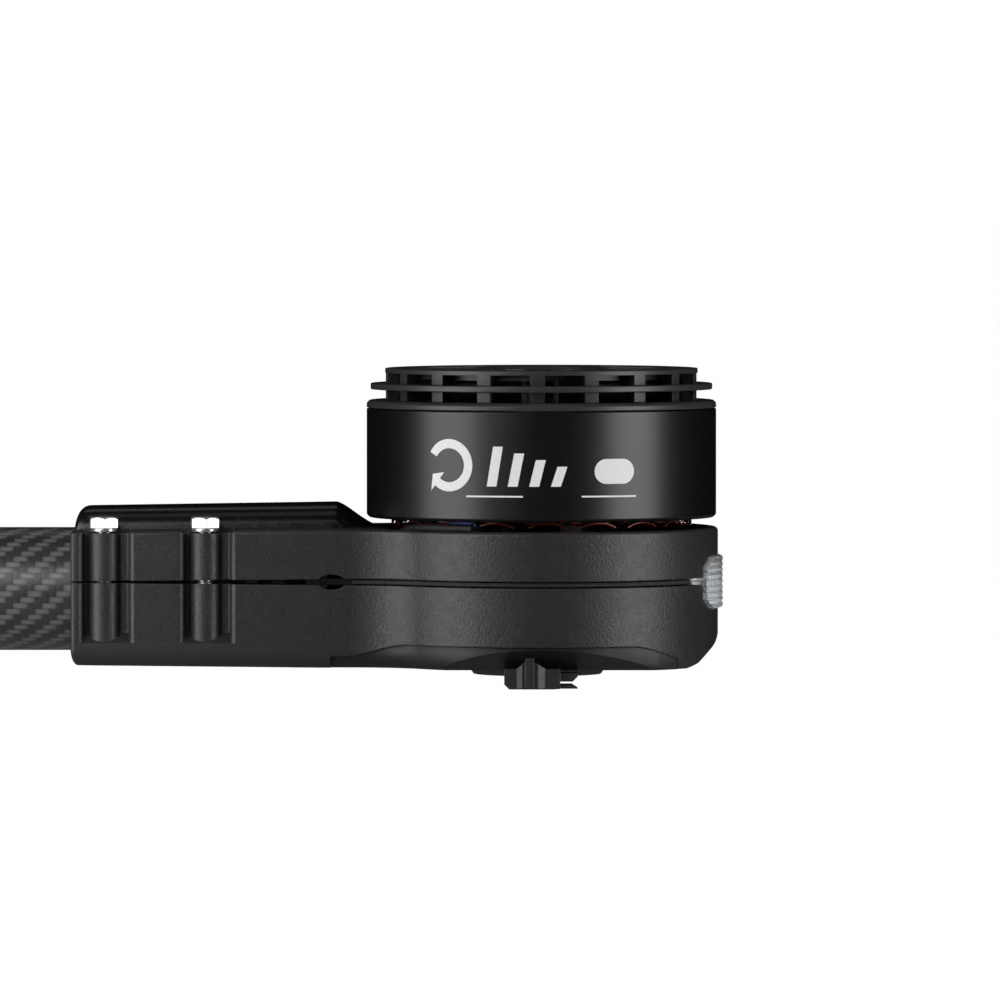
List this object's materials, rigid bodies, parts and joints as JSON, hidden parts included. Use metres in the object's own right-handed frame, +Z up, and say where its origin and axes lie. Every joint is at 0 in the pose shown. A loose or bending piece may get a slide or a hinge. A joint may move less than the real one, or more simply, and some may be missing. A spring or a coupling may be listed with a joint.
{
  "type": "multirotor arm motor pod",
  "caption": "End of a multirotor arm: carbon tube in a clamp housing with a speed controller, a brushless outrunner motor, a ribbed lamp and a nozzle mount.",
  "frame": {"origin": "centre of the arm tube's open end, on the tube's axis", "axes": "+X along the arm tube towards the motor, +Z up along the motor's axis, propeller side"},
  "size_m": [0.1883, 0.086, 0.0765],
  "materials": {
    "carbon_fibre": "clear-coated 3K twill carbon fibre",
    "housing_black": "black coat with a fine orange-peel texture, matt",
    "cover_black": "black anodised, satin",
    "rubber_black": "matt black silicone",
    "bolt_steel": "bright plated steel",
    "bearing_steel": "ground steel",
    "insert_brass": "turned brass",
    "bell_black": "smooth black coat, satin",
    "cap_black": "black anodised, satin, machined",
    "lamination": "stacked electrical steel, dark varnish",
    "enamelled_wire": "red-brown enamelled copper wire",
    "magnet_nickel": "nickel plated",
    "lens_clear": "clear moulded polycarbonate, ribbed",
    "board_green": "green solder mask",
    "thermal_grey": "soft grey silicone",
    "capacitor_can": "dark sleeve",
    "lead_sheath": "matt black silicone sheath",
    "clip_plastic": "black moulded nylon"
  },
  "bodies": {
    "pod": {"arm_tube": "carbon_fibre", "upper_housing": "housing_black", "lower_housing": "housing_black", "seam_gasket_right": "rubber_black", "seam_gasket_left": "rubber_black", "cable_grommet": "rubber_black", "lamp_lens": "lens_clear", "lamp_board": "board_green", "controller_cover": "cover_black", "thermal_pad": "thermal_grey", "controller_board": "board_green", "capacitor_1": "capacitor_can", "capacitor_2": "capacitor_can", "phase_lead_1": "lead_sheath", "phase_lead_2": "lead_sheath", "phase_lead_3": "lead_sheath", "nozzle_pad": "clip_plastic", "nozzle_clip_right": "clip_plastic", "nozzle_clip_left": "clip_plastic", "motor_base": "bell_black", "lower_bearing": "bearing_steel", "upper_bearing": "bearing_steel", "stator_core": "lamination", "windings": "enamelled_wire", "clamp_bolt_1": "bolt_steel", "clamp_insert_1": "insert_brass", "cover_screw_1": "bolt_steel", "motor_screw_1": "bolt_steel", "clamp_bolt_2": "bolt_steel", "clamp_insert_2": "insert_brass", "cover_screw_2": "bolt_steel", "motor_screw_2": "bolt_steel", "clamp_bolt_3": "bolt_steel", "clamp_insert_3": "insert_brass", "cover_screw_3": "bolt_steel", "motor_screw_3": "bolt_steel", "clamp_bolt_4": "bolt_steel", "clamp_insert_4": "insert_brass", "cover_screw_4": "bolt_steel", "motor_screw_4": "bolt_steel", "pad_screw_1": "bolt_steel", "pad_screw_2": "bolt_steel"},
    "rotor": {"shaft": "bearing_steel", "shaft_ring": "bearing_steel", "flux_ring": "bell_black", "magnet_ring": "magnet_nickel", "bell_cap": "cap_black"}
  },
  "joints": [
    {"name": "rotor_spin", "type": "hinge", "parent": "pod", "child": "rotor", "pos_m": [0.144, 0, 0.03], "axis": [0, 0, 1], "continuous": true}
  ]
}
